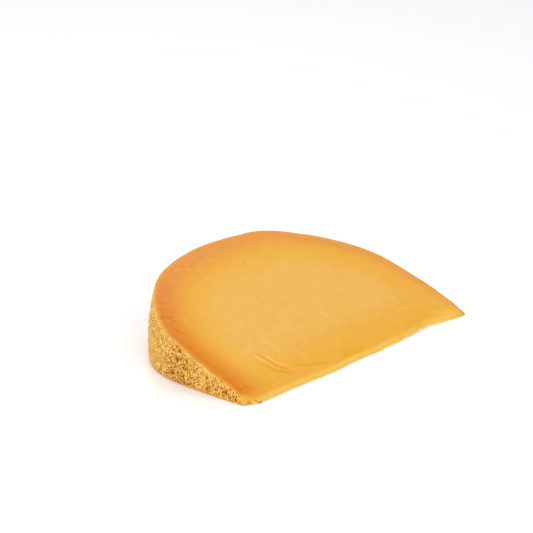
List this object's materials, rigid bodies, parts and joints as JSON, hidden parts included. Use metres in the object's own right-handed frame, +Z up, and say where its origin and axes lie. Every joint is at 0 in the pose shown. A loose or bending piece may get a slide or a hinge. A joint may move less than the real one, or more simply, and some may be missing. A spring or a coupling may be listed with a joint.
{
  "type": "mimolette cheese wedge",
  "caption": "Wedge of hard orange cheese cut like an orange segment from a flattened ball: a sloping D-shaped cut face, a thin front edge and a pitted rind at the back.",
  "frame": {"origin": "on the floor, under the middle of the wedge's bounding box", "axes": "+X along the thin cut edge, towards its pointed end; +Y from the thin edge to the thick rind; +Z up from the cut face that it lies on"},
  "size_m": [0.1588, 0.0982, 0.0355],
  "materials": {
    "cheese": "satin orange paste on the cuts, dull pitted tan rind on the round back"
  },
  "bodies": {
    "root": {"mimolette_wedge": "cheese"}
  },
  "joints": []
}
